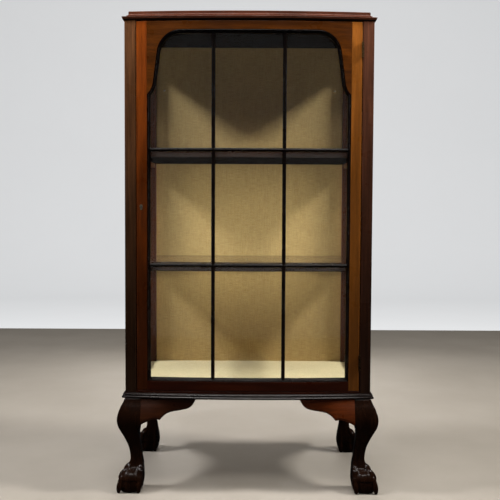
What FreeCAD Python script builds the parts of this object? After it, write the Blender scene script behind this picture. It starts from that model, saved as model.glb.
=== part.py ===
import FreeCAD, Part
import os
from math import acos, cos, pi, radians, sin, sqrt, tan

# Bow-fronted display cabinet on cabriole legs with one glazed door. Millimetres.
# The frame: +Z up, the front faces -Y, and the origin is on the floor under the middle of the case.

# ---------------------------------------------------------------- driving dimensions
HEIGHT = 1138.0          # floor to the top surface
CASE_WIDTH = 585.0       # over the two sides
CASE_DEPTH = 340.0       # from the front corners to the back
BOW = 16.0               # how far the middle of the front stands out beyond its corners
LEG_HEIGHT = 225.3       # floor to the underside of the case
TOP_THICK = 22.5         # the moulded top
BOARD = 16.0             # bottom board

POST_FACE = 26.7         # front posts, seen from the front
BACK_POST_WIDE = 37.5
POST_DEEP = 30.0         # front posts, behind the front corners, and back posts
SIDE_THICK = 20.0        # rails of the glazed sides
SIDE_RAIL_TOP = 45.5
SIDE_RAIL_BOTTOM = 49.7
BEAD = 8.0               # glazing beads and the moulding round the door's opening
GLASS = 2.5

DOOR_THICK = 20.0
SEAM = 1.4               # gap beside the door
DOOR_BOTTOM = 244.7
DOOR_TOP = 1113.3
OPEN_HALF = 239.5        # the opening in the door, to the wood
OPEN_BOTTOM = 267.0
OPEN_TOP = 1093.5
BAR_WIDE = 9.0           # glazing bars
BAR_RIB = 3.0            # their rib between the panes
BAR_X = 83.4
BAR_LOWER_Z = 542.9
BAR_UPPER_Z = 815.1
BAR_FRONT = 2.0          # bar front behind the door's face
GLASS_FRONT = 11.0       # glass behind the door's face

SHELF_THICK = 22.0
SHELF_TOPS = (548.0, 821.5)
SHELF_BACK = 46.0        # shelf front edge behind the cabinet's face
STOP_WIDE = 9.0          # strips that the door closes against
STOP_DEEP = 8.0
LINING = 1.5
LINING_FACE = 152.0      # y of the lining on the back

HINGE_HIGH = 36.0
HINGE_ZS = (312.0, 1049.0)
KNUCKLE_R = 2.5
PIN_R = 1.2
PIN_CLEAR = 0.05         # radial running clearance in the door's knuckle
LEAF_THICK = 1.0
LEAF_DEEP = 15.0

LOCK_Z = 680.0
LOCK_X = 253.4
BOLT_TRAVEL = 8.0

# ---------------------------------------------------------------- worked out from them
HALF = CASE_WIDTH / 2
FRONT = -CASE_DEPTH / 2
BACK = CASE_DEPTH / 2
CASE_TOP = HEIGHT - TOP_THICK
BOW_R = (HALF ** 2 + BOW ** 2) / (2 * BOW)
BOW_Y = FRONT - BOW + BOW_R          # y of the bow's upright axis, behind the cabinet
POST_IN = HALF - POST_FACE
DOOR_HALF = POST_IN - SEAM
BACK_IN = HALF - BACK_POST_WIDE
SIDE_IN = HALF - SIDE_THICK
POST_REAR = FRONT + POST_DEEP
BACK_POST_FRONT = BACK - POST_DEEP
DECK = DOOR_BOTTOM + 8.7             # top of the bottom board
FAR = 60.0                           # enough to reach past any face


def bow_face(x, depth=0.0):
    """y of the bowed surface that lies depth behind the front face."""
    return BOW_Y - sqrt((BOW_R - depth) ** 2 - x ** 2)


PIVOT_X = (POST_IN + DOOR_HALF) / 2
PIVOT_Y = bow_face(PIVOT_X) - KNUCKLE_R - 0.5


# ---------------------------------------------------------------- helpers
def vec(x, y, z):
    return FreeCAD.Vector(x, y, z)


def box(x0, x1, y0, y1, z0, z1):
    return Part.makeBox(x1 - x0, y1 - y0, z1 - z0, vec(x0, y0, z0))


def mirror_x(shape):
    return shape.mirror(vec(0, 0, 0), vec(1, 0, 0))


def mirror_y(shape):
    return shape.mirror(vec(0, 0, 0), vec(0, 1, 0))


def wire(place, start, steps):
    """Closed outline: a step is an end point, or (point on the arc, end point)."""
    edges = []
    here = start
    for step in list(steps) + [start]:
        if isinstance(step[0], tuple):
            edges.append(Part.Arc(place(*here), place(*step[0]), place(*step[1])).toShape())
            here = step[1]
        elif step != here:
            edges.append(Part.LineSegment(place(*here), place(*step)).toShape())
            here = step
    return Part.Wire(edges)


def face(place, start, *steps):
    return Part.Face(wire(place, start, steps))


def on_front(x, z):
    return vec(x, FRONT - FAR, z)


def through(start, *steps):
    """Extrude a front outline from before the cabinet to behind it."""
    return face(on_front, start, *steps).extrude(vec(0, CASE_DEPTH + 2 * FAR, 0))


def bow_solid(depth):
    """Everything that lies deeper than depth behind the bowed front face."""
    return Part.makeCylinder(BOW_R - depth, HEIGHT + FAR, vec(0, BOW_Y, -FAR / 2))


def bowed(block, front, back):
    """The part of a block between two depths behind the bowed front face."""
    return block.common(bow_solid(front)).cut(bow_solid(back))


def rect(x0, x1, z0, z1):
    return through((x0, z0), (x1, z0), (x1, z1), (x0, z1))


def turned_section(start, *steps):
    """Sweep a section of (distance before the front face, z) round the bow."""
    reach = 16.0             # degrees to either side

    def place(out, z):
        return vec(0, BOW_Y - BOW_R - out, z)

    swept = face(place, start, *steps).revolve(vec(0, BOW_Y, 0), vec(0, 0, 1), 2 * reach)
    swept.rotate(vec(0, BOW_Y, 0), vec(0, 0, 1), -reach)
    return swept


def side_section(start, *steps):
    """Sweep a section of (distance beyond the right side, z) from front to back."""
    def place(out, z):
        return vec(HALF + out, FRONT - FAR, z)

    return face(place, start, *steps).extrude(vec(0, BACK - FRONT + FAR, 0))


# ---------------------------------------------------------------- top and base mouldings
def top_board():
    """Thin slab over a cove, a projecting lip, and an ogee back to the case."""
    lip = CASE_TOP + 7.0
    inside = -2 * CASE_WIDTH
    edge = (
        (inside, CASE_TOP), (-0.2, CASE_TOP),
        ((3.6, CASE_TOP + 2.2), (4.6, lip - 1.4)),
        ((6.0, lip), (4.8, lip + 1.5)),
        (-4.5, lip + 3.0), (-4.5, lip + 5.0),
        ((-7.6, lip + 7.2), (-8.6, lip + 10.6)),
        (-8.6, HEIGHT - 1.5),
        ((-9.1, HEIGHT - 0.4), (-10.2, HEIGHT)),
        (inside, HEIGHT))
    sides = side_section(*edge)
    return turned_section(*edge).common(sides).common(mirror_x(sides))


# Two beads and a fillet, in flats, which keep the mitres at the corners clean.
BASE_EDGE = (
    (0.0, LEG_HEIGHT), (5.0, LEG_HEIGHT),
    (7.0, LEG_HEIGHT + 1.2), (7.7, LEG_HEIGHT + 3.2), (7.0, LEG_HEIGHT + 5.2), (5.0, LEG_HEIGHT + 6.4),
    (4.6, LEG_HEIGHT + 7.0), (5.3, LEG_HEIGHT + 9.2), (4.4, LEG_HEIGHT + 10.8), (1.6, LEG_HEIGHT + 12.0),
    (1.6, LEG_HEIGHT + 13.5), (0.0, LEG_HEIGHT + 13.5))


def corner_wedge():
    """Everything before two upright planes at 45 degrees through the front corners."""
    def place(x, y):
        return vec(x, y, 0)

    inner = HALF - FAR
    outer = HALF + FAR
    near = FRONT - FAR
    deep = FRONT + FAR
    plan = face(place, (-inner, deep), (-outer, near), (outer, near), (inner, deep))
    return plan.extrude(vec(0, 0, HEIGHT))


def base_moulding_front():
    return turned_section(*BASE_EDGE).common(corner_wedge())


def base_moulding_right():
    return side_section(*BASE_EDGE).cut(corner_wedge())


# ---------------------------------------------------------------- case
def strike_pocket():
    """Hole in the left post for the thrown bolt."""
    y = bow_face(POST_IN, DOOR_THICK / 2 + 4.0)
    return box(-POST_IN - BOLT_TRAVEL - 2, -POST_IN, y - 5, y + 5, LOCK_Z - 12, LOCK_Z + 12)


def strike_blank():
    """Thin plate let into the post round the pocket."""
    y = bow_face(POST_IN, DOOR_THICK / 2 + 4.0)
    return box(-POST_IN - 1.2, -POST_IN, y - 6.5, y + 6.5, LOCK_Z - 18, LOCK_Z + 18)


def lock_strike():
    """The plate with its opening for the bolt."""
    return strike_blank().cut(strike_pocket())


def front_post():
    block = box(POST_IN, HALF, FRONT - FAR, POST_REAR, LEG_HEIGHT, CASE_TOP)
    return block.common(bow_solid(0))


def front_post_left():
    return mirror_x(front_post()).cut(strike_pocket()).cut(strike_blank())


def front_post_right():
    cuts = [leaf_recess(z, 1) for z in HINGE_ZS] + hinge_screws(1)
    return front_post().cut(Part.makeCompound(cuts))


def back_post():
    return box(BACK_IN, HALF, BACK_POST_FRONT, BACK, LEG_HEIGHT, CASE_TOP)


def side_rail(z0, z1):
    return box(SIDE_IN, HALF, POST_REAR, BACK_POST_FRONT, z0, z1)


SIDE_SIGHT_LOW = LEG_HEIGHT + SIDE_RAIL_BOTTOM
SIDE_SIGHT_HIGH = CASE_TOP - SIDE_RAIL_TOP
PANE_X = SIDE_IN + BEAD + 0.5


def side_pane():
    return box(PANE_X, PANE_X + GLASS, POST_REAR, BACK_POST_FRONT, SIDE_SIGHT_LOW, SIDE_SIGHT_HIGH)


def side_bead_strip(x_glass, x_out, span, low):
    """Mitred strip with a hollow inner edge, along the bottom of an opening centred on the axis."""
    deep = x_out - x_glass
    end = span / 2

    def place(x, up):
        return vec(x, -end, low + up)

    def place_mitre(y, up):
        return vec(x_glass - FAR, y, low + up)

    section = face(
        place, (x_glass, 0.0), (x_out, 0.0), (x_out, 2.0),
        ((x_glass + deep * 0.35, 3.4), (x_glass + deep * 0.2, BEAD)), (x_glass, BEAD))
    mitre = face(place_mitre, (-end, 0.0), (end, 0.0), (end - FAR, FAR), (FAR - end, FAR))
    return section.extrude(vec(0, span, 0)).common(mitre.extrude(vec(2 * FAR, 0, 0)))


def side_bead_ring(x_glass, x_out):
    """Four strips round one side's opening, holding the pane from one side."""
    centre = vec(0, (POST_REAR + BACK_POST_FRONT) / 2, (SIDE_SIGHT_LOW + SIDE_SIGHT_HIGH) / 2)
    wide = BACK_POST_FRONT - POST_REAR
    high = SIDE_SIGHT_HIGH - SIDE_SIGHT_LOW
    strips = []
    for turn in (0, 90, 180, 270):
        level = turn % 180 == 0
        span = wide if level else high
        across = high if level else wide
        strip = side_bead_strip(x_glass, x_out, span, -across / 2)
        strip.rotate(vec(0, 0, 0), vec(1, 0, 0), turn)
        strip.translate(centre)
        strips.append(strip)
    return strips


def side_beads():
    outer = side_bead_ring(PANE_X + GLASS, HALF - 1.0)
    inner = side_bead_ring(PANE_X, SIDE_IN + 0.5)
    return Part.makeCompound(outer + inner)


def back_panel():
    panel = box(-BACK_IN, BACK_IN, LINING_FACE + LINING, LINING_FACE + LINING + 5.0, DECK, CASE_TOP)
    return panel.cut(lining_hooks())


def back_lining():
    sheet = box(-BACK_IN, BACK_IN, LINING_FACE, LINING_FACE + LINING, DECK + LINING, CASE_TOP)
    return sheet.cut(lining_hooks())


def back_rail(z0, z1):
    return box(-BACK_IN, BACK_IN, LINING_FACE + LINING + 5.0, BACK, z0, z1)


def lining_hooks():
    """Two small round-headed brass screws high on the back."""
    hooks = []
    for x in (-233.0, 233.0):
        head = Part.makeSphere(3.0, vec(x, LINING_FACE, 999.0))
        head = head.common(box(x - 5, x + 5, LINING_FACE - 5, LINING_FACE, 990, 1010))
        shank = Part.makeCylinder(1.2, 5.0, vec(x, LINING_FACE, 999.0), vec(0, 1, 0))
        hooks.append(head.fuse(shank))
    return Part.makeCompound(hooks)


def floor_plan(z0, z1, side, depth, gap):
    """A board inside the case: bowed before, notched round all four posts."""
    block = box(-side, side, FRONT - FAR, LINING_FACE - gap, z0, z1)
    board = block.common(bow_solid(depth))
    notch_front = box(POST_IN - gap, HALF, FRONT - FAR, POST_REAR + gap, z0 - 1, z1 + 1)
    notch_back = box(BACK_IN - gap, HALF, BACK_POST_FRONT - gap, BACK, z0 - 1, z1 + 1)
    for notch in (notch_front, notch_back):
        board = board.cut(notch).cut(mirror_x(notch))
    return board


def bottom_board():
    main = floor_plan(DECK - BOARD, DECK, SIDE_IN, DOOR_THICK + 2.0, 0.0)
    tail = box(-BACK_IN, BACK_IN, LINING_FACE, BACK, DECK - BOARD, DECK)
    return main.fuse(tail).removeSplitter()


def deck_lining():
    """Cloth over the board, cut away round the feet of the door's stops."""
    sheet = floor_plan(DECK, DECK + LINING, SIDE_IN, DOOR_THICK + 2.5, 0.0)
    corner = box(POST_IN - STOP_WIDE, HALF, FRONT - FAR, POST_REAR, DECK, DECK + LINING)
    return sheet.cut(corner).cut(mirror_x(corner))


def front_bottom_rail():
    return bowed(rect(-POST_IN, POST_IN, LEG_HEIGHT, DOOR_BOTTOM - 1.5), 0.0, DOOR_THICK + 2.0)


def shelf(top):
    """Polished board with a rounded front edge."""
    under = top - SHELF_THICK
    block = floor_plan(under, top, SIDE_IN - 1.0, SHELF_BACK, 0.5)
    nose = SHELF_BACK
    reach = -CASE_DEPTH
    rounded = turned_section(
        (reach, under), (-nose - 4.0, under), ((-nose - 1.2, under + 1.2), (-nose, under + 4.0)),
        (-nose, top - 4.0), ((-nose - 1.2, top - 1.2), (-nose - 4.0, top)), (reach, top))
    return block.common(rounded)


def shelf_bearers():
    """A strip under each end of each shelf, fixed between the posts."""
    bars = []
    for top in SHELF_TOPS:
        under = top - SHELF_THICK
        bar = box(SIDE_IN - 15.5, SIDE_IN - 0.5, POST_REAR, BACK_POST_FRONT, under - 12.0, under)
        bars += [bar, mirror_x(bar)]
    return Part.makeCompound(bars)


def door_stops():
    """Strips behind the door, on both posts and under the top."""
    front = DOOR_THICK + 0.5
    back = front + STOP_DEEP
    inner = POST_IN - STOP_WIDE
    upright_strip = bowed(rect(inner, POST_IN, DECK, CASE_TOP), front, back)
    over = bowed(rect(-inner, inner, CASE_TOP - STOP_WIDE, CASE_TOP), front, back)
    return Part.makeCompound([upright_strip, mirror_x(upright_strip), over])


# ---------------------------------------------------------------- legs
# Square-cut cabriole leg with a ball-and-claw foot: (height, outer face, inner face), both measured
# sideways from the side of the case, and the corner radius of the section.
LEG_STATIONS = (
    (LEG_HEIGHT, 0.5, -39.0, 2.0),
    (204.0, 11.0, -39.0, 7.0),
    (174.0, 17.3, -38.2, 12.0),
    (144.0, 9.2, -34.2, 13.0),
    (109.0, -5.2, -36.2, 12.0),
    (78.0, -10.2, -39.2, 11.0),
    (58.0, -5.6, -41.0, 13.0),
    (40.0, 9.0, -42.2, 16.0),
    (14.0, 19.0, -41.0, 18.0),
    (0.0, 12.0, -35.0, 16.0))
LEG_FORWARD = 8.0        # legs stand this much further out at front and back than at the sides


def rounded_square(x0, x1, y0, y1, z, r):
    k = r * (1 - sqrt(0.5))

    def place(x, y):
        return vec(x, y, z)

    return wire(
        place, (x0 + r, y0), [
            (x1 - r, y0), ((x1 - k, y0 + k), (x1, y0 + r)),
            (x1, y1 - r), ((x1 - k, y1 - k), (x1 - r, y1)),
            (x0 + r, y1), ((x0 + k, y1 - k), (x0, y1 - r)),
            (x0, y0 + r), ((x0 + k, y0 + k), (x0 + r, y0))])


def leg():
    """Front right leg: the same swelling outward on both faces of its corner."""
    rings = []
    for z, outer, inner, r in LEG_STATIONS:
        rings.append(rounded_square(
            HALF + inner, HALF + outer, FRONT - LEG_FORWARD - outer, FRONT - LEG_FORWARD - inner, z, r))
    block = Part.makeLoft(rings[:2], True, True)
    shank = Part.makeLoft(rings[1:], True, False)
    return block.fuse(shank)


BRACKET_LONG = 130.0     # front knee brackets, along the case
BRACKET_SIDE = 100.0     # those at the sides
BRACKET_THICK = 20.0


def bracket_face(place, long):
    """Ogee bracket: u runs from the leg's inner face towards the middle of the case."""
    k = long / BRACKET_LONG
    top = LEG_HEIGHT
    return face(
        place, (0.0, top), (long, top), ((123.0 * k, 209.0), (109.0 * k, 201.0)),
        (82.0 * k, 196.0), ((62.0 * k, 191.5), (45.5 * k, 176.5)),
        ((34.0 * k, 178.6), (22.0 * k, 176.0)), (0.0, 165.0))


def bracket_front():
    start = HALF + LEG_STATIONS[0][2]

    def place(u, z):
        return on_front(start - u, z)

    block = bracket_face(place, BRACKET_LONG).extrude(vec(0, 2 * FAR + BRACKET_THICK, 0))
    return bowed(block, 0.5, 0.5 + BRACKET_THICK).cut(leg())


def bracket_side():
    start = FRONT - LEG_FORWARD - LEG_STATIONS[0][2]

    def place(u, z):
        return vec(HALF - BRACKET_THICK - 1.0, start + u, z)

    return bracket_face(place, BRACKET_SIDE).extrude(vec(BRACKET_THICK, 0, 0)).cut(leg())


# ---------------------------------------------------------------- hinges and lock
def leaf_plate(z, side):
    """Leaf let into the edge of the post (side 1) or of the door (side -1)."""
    y = bow_face(PIVOT_X) + 0.4
    x0 = POST_IN if side > 0 else DOOR_HALF - LEAF_THICK
    return box(x0, x0 + LEAF_THICK, y, y + LEAF_DEEP, z - HINGE_HIGH / 2, z + HINGE_HIGH / 2)


def leaf_recess(z, side):
    """Housing for the leaf, open at the front face."""
    leaf = leaf_plate(z, side).BoundBox
    return box(leaf.XMin, leaf.XMax, PIVOT_Y, leaf.YMax, leaf.ZMin, leaf.ZMax)


def knuckle(z0, z1, hole):
    barrel = Part.makeCylinder(KNUCKLE_R, z1 - z0, vec(PIVOT_X, PIVOT_Y, z0))
    return barrel.cut(Part.makeCylinder(hole, z1 - z0, vec(PIVOT_X, PIVOT_Y, z0)))


def knuckle_spans(z):
    """The barrel's lengths: the outer two on the post, and the middle one on the door."""
    low = z - HINGE_HIGH / 2
    third = HINGE_HIGH / 3
    gap = 0.2
    on_post = (low, low + third - gap), (low + 2 * third + gap, low + HINGE_HIGH)
    on_door = ((low + third + gap, low + 2 * third - gap),)
    return on_post, on_door


def hinge_leaf(z, side, spans, hole):
    """Plate, and knuckles joined to it by tabs."""
    plate = leaf_plate(z, side)
    x0 = plate.BoundBox.XMin
    x1 = plate.BoundBox.XMax
    y1 = plate.BoundBox.YMin + 0.1
    solid = plate.cut(Part.makeCompound(hinge_screws(side)))
    for z0, z1 in spans:
        bore = Part.makeCylinder(hole, z1 - z0, vec(PIVOT_X, PIVOT_Y, z0))
        tab = box(x0, x1, PIVOT_Y, y1, z0, z1).cut(bore)
        solid = solid.fuse(tab).fuse(knuckle(z0, z1, hole))
    return solid.removeSplitter()


def hinge_screws(side):
    """Countersunk screws: side is 1 for the post, -1 for the door."""
    x_face = POST_IN if side > 0 else DOOR_HALF
    y = bow_face(PIVOT_X) + 0.4 + LEAF_DEEP / 2
    screws = []
    for z in HINGE_ZS:
        for up in (-1, 1):
            spot = vec(x_face, y, z + up * HINGE_HIGH / 3.2)
            head = Part.makeCone(2.2, 1.2, LEAF_THICK, spot, vec(side, 0, 0))
            shank = Part.makeCylinder(1.2, 9.0, spot + vec(side * LEAF_THICK, 0, 0), vec(side, 0, 0))
            screws.append(head.fuse(shank))
    return screws


def hinge_case_leaves():
    leaves = []
    for z in HINGE_ZS:
        leaves.append(hinge_leaf(z, 1, knuckle_spans(z)[0], PIN_R))
    return Part.makeCompound(leaves)


def hinge_door_leaves():
    leaves = []
    for z in HINGE_ZS:
        leaves.append(hinge_leaf(z, -1, knuckle_spans(z)[1], PIN_R + PIN_CLEAR))
    return Part.makeCompound(leaves)


def hinge_pins():
    pins = []
    for z in HINGE_ZS:
        pins.append(Part.makeCylinder(PIN_R, HINGE_HIGH, vec(PIVOT_X, PIVOT_Y, z - HINGE_HIGH / 2)))
    return Part.makeCompound(pins)


LOCK_WIDE = 23.0
LOCK_HIGH = 46.0
LOCK_DEEP = 10.0
BOLT_LONG = 17.0
BOLT_WIDE = 5.0
BOLT_HIGH = 20.0
BOLT_PLAY = 0.3
LOCK_FRONT_Y = bow_face(DOOR_HALF, DOOR_THICK) - LOCK_DEEP
BOLT_Y = LOCK_FRONT_Y + 1.8 + BOLT_WIDE / 2


def lock_space():
    """Mortise in the left stile, open at its edge and its back."""
    inner = -DOOR_HALF + LOCK_WIDE
    low = LOCK_Z - LOCK_HIGH / 2
    return box(-DOOR_HALF, inner, LOCK_FRONT_Y, FRONT + DOOR_THICK, low, low + LOCK_HIGH)


def bolt_block(x0, x1, play):
    half_y = BOLT_WIDE / 2 + play
    half_z = BOLT_HIGH / 2 + play
    return box(x0, x1, BOLT_Y - half_y, BOLT_Y + half_y, LOCK_Z - half_z, LOCK_Z + half_z)


def lock_bolt():
    """Drawn back, its nose level with the door's edge."""
    return bolt_block(-DOOR_HALF, -DOOR_HALF + BOLT_LONG, 0.0)


def lock_case():
    channel = bolt_block(-DOOR_HALF - 1.0, -DOOR_HALF + BOLT_LONG + 1.0, BOLT_PLAY)
    return lock_space().cut(bow_solid(DOOR_THICK)).cut(channel).cut(keyhole())


def keyhole():
    """Round hole and slot, through the stile's face into the lock."""
    y0 = FRONT - FAR
    deep = BOLT_Y - BOLT_WIDE / 2 - BOLT_PLAY - y0
    ring = Part.makeCylinder(1.5, deep, vec(-LOCK_X, y0, LOCK_Z + 1.5), vec(0, 1, 0))
    slot = box(-LOCK_X - 0.8, -LOCK_X + 0.8, y0, y0 + deep, LOCK_Z - 4.0, LOCK_Z + 1.5)
    return ring.fuse(slot)


def escutcheon_blank():
    """Small upright oval plate, narrower at its foot."""
    x = -LOCK_X
    z = LOCK_Z
    plate = through(
        (x - 2.6, z - 4.2), ((x, z - 6.4), (x + 2.6, z - 4.2)), (x + 3.4, z + 2.0),
        ((x, z + 6.2), (x - 3.4, z + 2.0)))
    return bowed(plate, -0.4, 1.0)


def keyhole_escutcheon():
    return escutcheon_blank().cut(keyhole())


# ---------------------------------------------------------------- door
SHOULDER_R = 57.0        # round shoulders of the opening
SHOULDER_X = 159.5       # their centres
LEAN = radians(7.5)      # the neck under a shoulder leans outward as it goes down
NECK_Z = 972.0           # where it flares out to meet the stile
FLARE_R = 48.0
NECK_X = SHOULDER_X + SHOULDER_R / cos(LEAN) + (OPEN_TOP - SHOULDER_R - NECK_Z) * tan(LEAN)
FLARE_X = NECK_X + FLARE_R * cos(LEAN)
FLARE_Z = NECK_Z + FLARE_R * sin(LEAN)
CUSP_Z = FLARE_Z - sqrt(FLARE_R ** 2 - (FLARE_X - OPEN_HALF) ** 2)


def opening(inset):
    """Block through the door's arched opening, or through the same outline moved in all round."""
    x = OPEN_HALF - inset
    top = OPEN_TOP - inset
    shoulder_r = SHOULDER_R - inset
    shoulder_z = top - shoulder_r
    flare_r = FLARE_R + inset

    def on_shoulder(angle):
        return (SHOULDER_X + shoulder_r * cos(angle), shoulder_z + shoulder_r * sin(angle))

    def on_flare(angle):
        return (FLARE_X - flare_r * cos(angle), FLARE_Z - flare_r * sin(angle))

    cusp = acos((FLARE_X - x) / flare_r)
    half = through(
        (0.0, OPEN_BOTTOM + inset), (x, OPEN_BOTTOM + inset), on_flare(cusp),
        (on_flare((cusp + LEAN) / 2), on_flare(LEAN)), on_shoulder(LEAN),
        (on_shoulder(pi / 4), on_shoulder(pi / 2)), (0.0, top))
    return half.fuse(mirror_x(half)).removeSplitter()


def ring(inset_a, inset_b):
    return opening(inset_a).cut(opening(inset_b))


def door_stile():
    return bowed(rect(OPEN_HALF, DOOR_HALF, DOOR_BOTTOM, DOOR_TOP), 0.0, DOOR_THICK)


def door_stile_left():
    return mirror_x(door_stile()).cut(lock_space()).cut(keyhole()).cut(escutcheon_blank())


def door_stile_right():
    cuts = [leaf_recess(z, -1) for z in HINGE_ZS] + hinge_screws(-1)
    return door_stile().cut(Part.makeCompound(cuts))


def door_top_rail():
    """Rail between the stiles with the arch cut out of its lower edge."""
    blank = rect(-OPEN_HALF, OPEN_HALF, CUSP_Z, DOOR_TOP)
    return bowed(blank.cut(opening(0.0)), 0.0, DOOR_THICK)


def door_bottom_rail():
    return bowed(rect(-OPEN_HALF, OPEN_HALF, DOOR_BOTTOM, OPEN_BOTTOM), 0.0, DOOR_THICK)


def door_moulding():
    """Stepped moulding round the opening, in front of the glass."""
    outer = bowed(ring(0.0, 3.0), 0.5, GLASS_FRONT)
    inner = bowed(ring(3.0, BEAD), 3.0, GLASS_FRONT)
    return outer.fuse(inner).removeSplitter()


def door_glazing_beads():
    return bowed(ring(0.0, BEAD - 2.0), GLASS_FRONT + GLASS, DOOR_THICK)


def glazing_bar_upright():
    """Round-fronted bar before the glass, with a rib between the panes."""
    low = OPEN_BOTTOM + BEAD
    high = OPEN_TOP - BEAD
    half = BAR_WIDE / 2
    rib = BAR_RIB / 2

    def place(u, v):
        return vec(BAR_X + u, bow_face(BAR_X, BAR_FRONT) + v, low)

    section = face(
        place, (-half, half), ((0.0, 0.0), (half, half)), (half, DOOR_THICK), (-half, DOOR_THICK))
    head = section.extrude(vec(0, 0, high - low)).cut(bow_solid(GLASS_FRONT))
    web = bowed(rect(BAR_X - rib, BAR_X + rib, low, high), GLASS_FRONT, DOOR_THICK)
    return head.fuse(web).removeSplitter()


def glazing_bar_level(z):
    """The same section run round the bow, in three lengths between the uprights."""
    half = BAR_WIDE / 2
    rib = BAR_RIB / 2
    run = turned_section(
        (-BAR_FRONT - half, z - half), ((-BAR_FRONT, z), (-BAR_FRONT - half, z + half)),
        (-GLASS_FRONT, z + half), (-GLASS_FRONT, z + rib), (-DOOR_THICK, z + rib),
        (-DOOR_THICK, z - rib), (-GLASS_FRONT, z - rib), (-GLASS_FRONT, z - half))
    reach = OPEN_HALF - BEAD
    near = BAR_X - half
    far = BAR_X + half
    lengths = []
    for x0, x1 in ((-reach, -far), (-near, near), (far, reach)):
        lengths.append(run.common(box(x0, x1, FRONT - FAR, BACK, z - BAR_WIDE, z + BAR_WIDE)))
    return Part.makeCompound(lengths)


def door_panes(z0, z1):
    """One row of three panes, with a little play round each."""
    play = 0.3
    edge = BAR_RIB / 2 + play
    sheet = bowed(opening(play), GLASS_FRONT, GLASS_FRONT + GLASS)
    near = BAR_X - edge
    far = BAR_X + edge
    panes = []
    for x0, x1 in ((-OPEN_HALF, -far), (-near, near), (far, OPEN_HALF)):
        panes.append(sheet.common(box(x0, x1, FRONT - FAR, BACK, z0 + edge, z1 - edge)))
    return Part.makeCompound(panes)


# ---------------------------------------------------------------- write the parts
def pair(name, shape):
    """Right-hand piece and its mirror image."""
    return {name + "_right": shape, name + "_left": mirror_x(shape)}


def parts():
    made = {
        "top_board": top_board(),
        "front_post_left": front_post_left(),
        "front_post_right": front_post_right(),
        "back_panel": back_panel(),
        "back_lining": back_lining(),
        "back_top_rail": back_rail(CASE_TOP - 60.0, CASE_TOP),
        "back_bottom_rail": back_rail(DECK, DECK + 60.0),
        "bottom_board": bottom_board(),
        "deck_lining": deck_lining(),
        "front_bottom_rail": front_bottom_rail(),
        "base_moulding_front": base_moulding_front(),
        "shelf_lower": shelf(SHELF_TOPS[0]),
        "shelf_upper": shelf(SHELF_TOPS[1]),
        "shelf_bearers": shelf_bearers(),
        "door_stops": door_stops(),
        "hinge_case_leaves": hinge_case_leaves(),
        "hinge_case_screws": Part.makeCompound(hinge_screws(1)),
        "hinge_pins": hinge_pins(),
        "lock_strike": lock_strike(),
        "lining_hooks": lining_hooks(),
        "door_stile_left": door_stile_left(),
        "door_stile_right": door_stile_right(),
        "door_top_rail": door_top_rail(),
        "door_bottom_rail": door_bottom_rail(),
        "door_moulding": door_moulding(),
        "door_glazing_beads": door_glazing_beads(),
        "glazing_bar_upper": glazing_bar_level(BAR_UPPER_Z),
        "glazing_bar_lower": glazing_bar_level(BAR_LOWER_Z),
        "door_panes_top": door_panes(BAR_UPPER_Z, OPEN_TOP + FAR),
        "door_panes_middle": door_panes(BAR_LOWER_Z, BAR_UPPER_Z),
        "door_panes_bottom": door_panes(OPEN_BOTTOM - FAR, BAR_LOWER_Z),
        "hinge_door_leaves": hinge_door_leaves(),
        "hinge_door_screws": Part.makeCompound(hinge_screws(-1)),
        "lock_case": lock_case(),
        "lock_bolt": lock_bolt(),
        "keyhole_escutcheon": keyhole_escutcheon(),
    }
    made.update(pair("back_post", back_post()))
    made.update(pair("side_top_rail", side_rail(SIDE_SIGHT_HIGH, CASE_TOP)))
    made.update(pair("side_bottom_rail", side_rail(LEG_HEIGHT, SIDE_SIGHT_LOW)))
    made.update(pair("side_pane", side_pane()))
    made.update(pair("side_beads", side_beads()))
    made.update(pair("base_moulding", base_moulding_right()))
    made.update(pair("leg_front", leg()))
    made.update(pair("leg_back", mirror_y(leg())))
    made.update(pair("bracket_front", bracket_front()))
    made.update(pair("bracket_side_front", bracket_side()))
    made.update(pair("bracket_side_back", mirror_y(bracket_side())))
    made.update(pair("glazing_bar", glazing_bar_upright()))
    return made


os.makedirs("parts", exist_ok=True)
for name, shape in sorted(parts().items()):
    shape.exportStep("parts/" + name + ".step")
    print(name, len(shape.Solids), "solids, valid:", shape.isValid())
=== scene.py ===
"""Looks of the bow-fronted display cabinet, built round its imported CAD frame.

+Z is up and the front faces -Y. Lengths of the object are in millimetres, as in the CAD source, and
become metres as each mesh is made; the room, the lights and the camera are in metres.
"""

import bpy
import bmesh
import numpy as np
from math import acos, cos, degrees, pi, radians, sin, sqrt, tan
from mathutils import Matrix, Vector, noise


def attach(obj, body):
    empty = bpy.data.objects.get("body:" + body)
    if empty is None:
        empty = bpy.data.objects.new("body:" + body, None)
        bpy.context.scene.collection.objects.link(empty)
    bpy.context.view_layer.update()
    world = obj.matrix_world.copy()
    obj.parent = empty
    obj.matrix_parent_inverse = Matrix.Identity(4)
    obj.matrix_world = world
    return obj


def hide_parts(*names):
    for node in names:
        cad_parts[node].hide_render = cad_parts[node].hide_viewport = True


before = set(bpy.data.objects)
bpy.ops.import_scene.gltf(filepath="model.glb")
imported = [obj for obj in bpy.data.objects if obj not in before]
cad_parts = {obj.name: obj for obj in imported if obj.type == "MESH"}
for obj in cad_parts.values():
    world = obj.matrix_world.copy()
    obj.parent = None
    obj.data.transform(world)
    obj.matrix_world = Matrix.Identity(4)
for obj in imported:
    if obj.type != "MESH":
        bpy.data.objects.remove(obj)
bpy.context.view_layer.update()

MM = 0.001

# -------- sizes of the object
HEIGHT = 1138.0
HALF = 292.5             # half the case's width
FRONT = -170.0           # y of the front corners
BACK = 170.0
BOW = 16.0
LEG_HEIGHT = 225.3
CASE_TOP = 1115.5
BOARD = 16.0

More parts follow.
